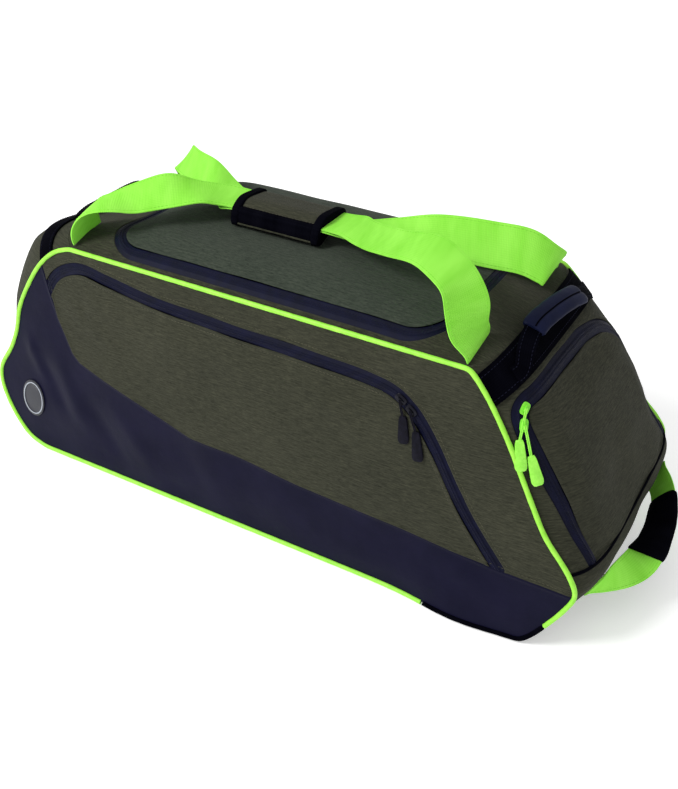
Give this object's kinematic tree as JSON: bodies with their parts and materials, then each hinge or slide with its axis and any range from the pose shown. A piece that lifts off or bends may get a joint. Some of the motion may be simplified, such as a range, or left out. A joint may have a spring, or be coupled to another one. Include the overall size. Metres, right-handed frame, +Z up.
{
  "type": "cricket kit bag",
  "caption": "Long soft holdall with a zipped lid, a sloped front pocket, an end pocket, wrapped carry straps, grab handles and a low haul loop.",
  "frame": {"origin": "the middle of the base's flat underside, on the floor", "axes": "+Z up, +X along the bag towards the sloped end with the haul loop, -Y out of the front panel with the pocket"},
  "size_m": [0.8841, 0.3606, 0.3827],
  "materials": {
    "olive": "heathered olive canvas, matt",
    "tarpaulin": "dark navy coated cloth, slightly glossy",
    "base": "black coated cloth over a board",
    "zip": "dark navy coil zip tape",
    "piping": "lime piping, satin",
    "lime": "ribbed lime webbing",
    "black": "ribbed black webbing",
    "sleeve": "blue-grey padded coated cloth",
    "slider": "black painted zip slider",
    "lime_slider": "lime painted zip slider",
    "pull": "black moulded pull on a cord",
    "lime_pull": "lime moulded pull on a cord",
    "badge": "dark plain moulded badge with a grey rim"
  },
  "bodies": {
    "root": {"front_lower_panel": "tarpaulin", "front_border_panel": "olive", "front_pocket_panel": "olive", "front_pocket_zip": "zip", "back_lower_panel": "tarpaulin", "back_upper_panel": "olive", "top_panel": "olive", "lid_zip": "zip", "lid_panel": "olive", "left_end_panel": "olive", "right_end_panel": "olive", "end_pocket_zip": "zip", "end_pocket_panel": "olive", "base_panel": "base", "piping_front": "piping", "piping_back": "piping", "left_end_webbing": "black", "right_end_webbing": "black", "left_grab_handle": "black", "right_grab_handle": "black", "right_grab_sleeve": "sleeve", "carry_strap_front": "lime", "carry_strap_back": "lime", "carry_wrap": "olive", "wrap_binding_left": "black", "wrap_binding_right": "black", "haul_strap": "lime", "haul_grip": "black", "badge": "badge", "front_slider_1": "slider", "front_slider_2": "slider", "front_pull_1": "pull", "front_pull_2": "pull", "end_slider_1": "lime_slider", "end_slider_2": "lime_slider", "end_pull_1": "lime_pull", "end_pull_2": "lime_pull", "lid_slider": "slider"}
  },
  "joints": []
}
